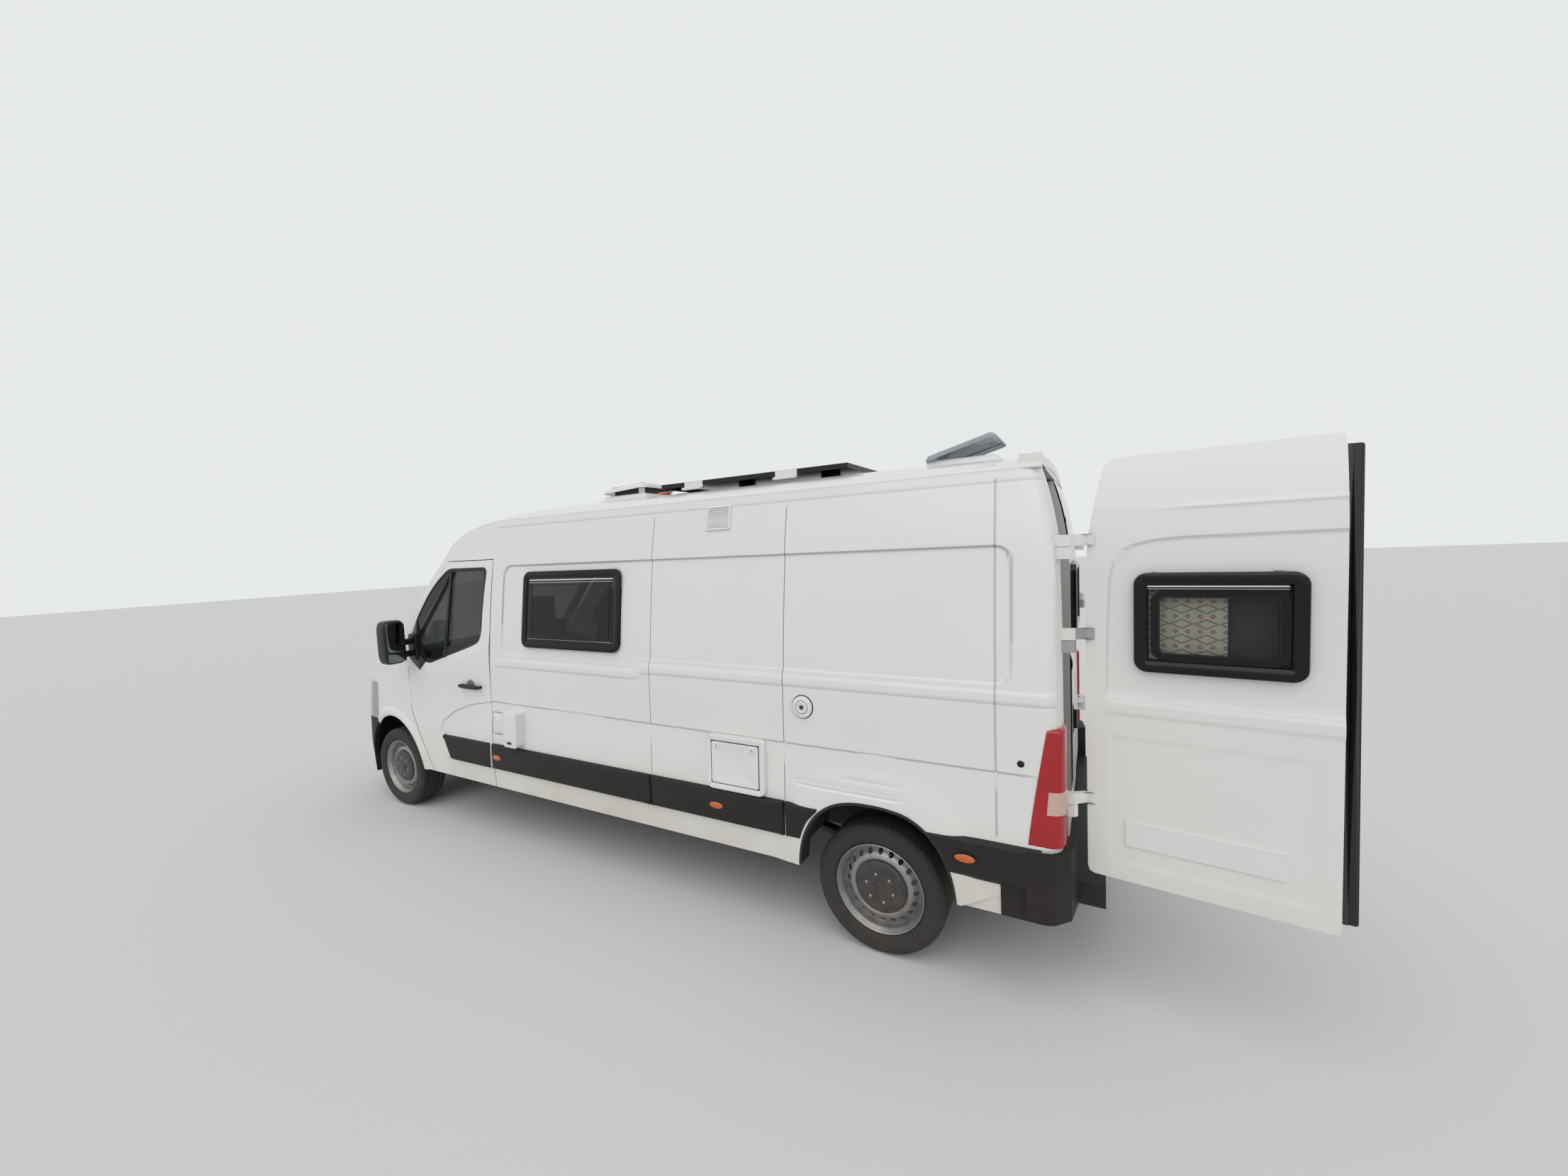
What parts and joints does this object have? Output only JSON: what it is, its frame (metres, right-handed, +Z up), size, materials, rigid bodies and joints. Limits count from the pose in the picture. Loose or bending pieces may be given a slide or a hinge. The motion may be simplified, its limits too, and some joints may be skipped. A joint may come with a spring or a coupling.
{
  "type": "camper van",
  "caption": "Long high-roof panel van fitted out as a camper, white, with hinged side window, roof hatch, solar panel and the left rear door standing open.",
  "frame": {"origin": "on the ground, midway between the foremost and rearmost points at rest and on the van's centre plane", "axes": "+X towards the nose, +Y to the van's left, +Z up"},
  "size_m": [6.9256, 2.47, 2.6685],
  "materials": {
    "chassis_iron": "dull black underbody paint",
    "dark_moulding": "black-brown grained plastic",
    "grey_trim": "dark grey moulded trim",
    "lamp_clear": "clear to pale grey plastic",
    "lamp_red": "glossy red lens",
    "seat_cloth": "dark woven cloth",
    "silver_steel": "silver wheel paint, dusty",
    "solar_cells": "dark glossy cells",
    "tinted_glass": "dark tinted glazing",
    "tyre_rubber": "dusty black rubber",
    "white_paint": "white enamel, satin with light dust"
  },
  "bodies": {
    "van": {"side_wall_left": "white_paint", "side_wall_right": "white_paint", "sliding_door": "white_paint", "side_window_left": "tinted_glass", "side_window_right": "tinted_glass", "roof": "white_paint", "cab_frame": "dark_moulding", "windscreen": "tinted_glass", "bumper_front": "dark_moulding", "grille": "dark_moulding", "headlamp_left": "lamp_clear", "headlamp_right": "lamp_clear", "wing_left": "white_paint", "wing_right": "white_paint", "floor_pan": "chassis_iron", "front_subframe": "chassis_iron", "engine_block": "chassis_iron", "rear_axle": "chassis_iron", "fuel_tank": "chassis_iron", "exhaust": "chassis_iron", "moulding_left": "dark_moulding", "moulding_right": "dark_moulding", "bumper_rear": "dark_moulding", "tail_lamp_left": "lamp_red", "tail_lamp_right": "lamp_red", "dashboard": "grey_trim", "seat_left": "seat_cloth", "seat_right": "seat_cloth", "solar_panel": "solar_cells", "roof_vent": "white_paint", "hatch_frame": "white_paint", "mains_inlet": "white_paint"},
    "cab_door_left": {"cab_door_left": "white_paint", "cab_glass_left": "tinted_glass", "mirror_left": "dark_moulding"},
    "cab_door_right": {"cab_door_right": "white_paint", "cab_glass_right": "tinted_glass", "mirror_right": "dark_moulding"},
    "rear_door_left": {"rear_door_left": "white_paint", "rear_window_left": "tinted_glass"},
    "rear_door_right": {"rear_door_right": "white_paint", "rear_window_right": "tinted_glass"},
    "knuckle_left": {"knuckle_left": "chassis_iron"},
    "knuckle_right": {"knuckle_right": "chassis_iron"},
    "wheel_front_left": {"rim_front_left": "silver_steel", "tyre_front_left": "tyre_rubber"},
    "wheel_front_right": {"rim_front_right": "silver_steel", "tyre_front_right": "tyre_rubber"},
    "wheel_rear_left": {"rim_rear_left": "silver_steel", "tyre_rear_left": "tyre_rubber"},
    "wheel_rear_right": {"rim_rear_right": "silver_steel", "tyre_rear_right": "tyre_rubber"},
    "bonnet": {"bonnet": "white_paint"},
    "hatch_lid": {"hatch_lid": "lamp_clear"},
    "service_door": {"service_door": "white_paint"},
    "fuel_flap": {"fuel_flap": "white_paint"},
    "steering_wheel": {"steering_wheel": "grey_trim"}
  },
  "joints": [
    {"name": "cab_door_left_hinge", "type": "hinge", "parent": "van", "child": "cab_door_left", "pos_m": [2.29078, 1.00933, 1.066], "axis": [0, 0, -1], "range_deg": [0, 70]},
    {"name": "cab_door_right_hinge", "type": "hinge", "parent": "van", "child": "cab_door_right", "pos_m": [2.29078, -1.00933, 1.066], "axis": [0, 0, 1], "range_deg": [0, 70]},
    {"name": "rear_door_left_hinge", "type": "hinge", "parent": "van", "child": "rear_door_left", "pos_m": [-2.59122, 0.862, 1.366], "axis": [0, 0, -1], "range_deg": [-97, 83]},
    {"name": "rear_door_right_hinge", "type": "hinge", "parent": "van", "child": "rear_door_right", "pos_m": [-2.59122, -0.862, 1.366], "axis": [0, 0, 1], "range_deg": [0, 180]},
    {"name": "bonnet_hinge", "type": "hinge", "parent": "van", "child": "bonnet", "pos_m": [2.95578, 0, 1.265], "axis": [0, -1, 0], "range_deg": [0, 60]},
    {"name": "hatch_hinge", "type": "hinge", "parent": "van", "child": "hatch_lid", "pos_m": [-1.80922, 0, 2.5353], "axis": [0, 1, 0], "range_deg": [-15, 45]},
    {"name": "service_door_hinge", "type": "hinge", "parent": "van", "child": "service_door", "pos_m": [-0.93422, 1.04532, 0.793], "axis": [-1, 0, 0], "range_deg": [0, 90]},
    {"name": "fuel_flap_hinge", "type": "hinge", "parent": "van", "child": "fuel_flap", "pos_m": [1.19178, 1.01144, 0.895], "axis": [0, 0.0493, -0.9988], "range_deg": [0, 95]},
    {"name": "steer_left", "type": "hinge", "parent": "van", "child": "knuckle_left", "pos_m": [2.62078, 0.73, 0.335], "axis": [0, 0, 1], "range_deg": [-34, 34]},
    {"name": "steer_right", "type": "hinge", "parent": "van", "child": "knuckle_right", "pos_m": [2.62078, -0.73, 0.335], "axis": [0, 0, 1], "range_deg": [-34, 34]},
    {"name": "steering_column", "type": "hinge", "parent": "van", "child": "steering_wheel", "pos_m": [2.15078, 0.44, 1.17], "axis": [-0.5736, 0, 0.8192], "range_deg": [-510, 510]},
    {"name": "wheel_front_left_spin", "type": "hinge", "parent": "knuckle_left", "child": "wheel_front_left", "pos_m": [2.62078, 0.875, 0.335], "axis": [0, 1, 0], "continuous": true},
    {"name": "wheel_front_right_spin", "type": "hinge", "parent": "knuckle_right", "child": "wheel_front_right", "pos_m": [2.62078, -0.875, 0.335], "axis": [0, 1, 0], "continuous": true},
    {"name": "wheel_rear_left_spin", "type": "hinge", "parent": "van", "child": "wheel_rear_left", "pos_m": [-1.71122, 0.865, 0.335], "axis": [0, 1, 0], "continuous": true},
    {"name": "wheel_rear_right_spin", "type": "hinge", "parent": "van", "child": "wheel_rear_right", "pos_m": [-1.71122, -0.865, 0.335], "axis": [0, 1, 0], "continuous": true}
  ],
  "couplings": [
    {"joint": "steer_right", "follows": "steer_left", "ratio": 1},
    {"joint": "steering_column", "follows": "steer_left", "ratio": 15}
  ]
}
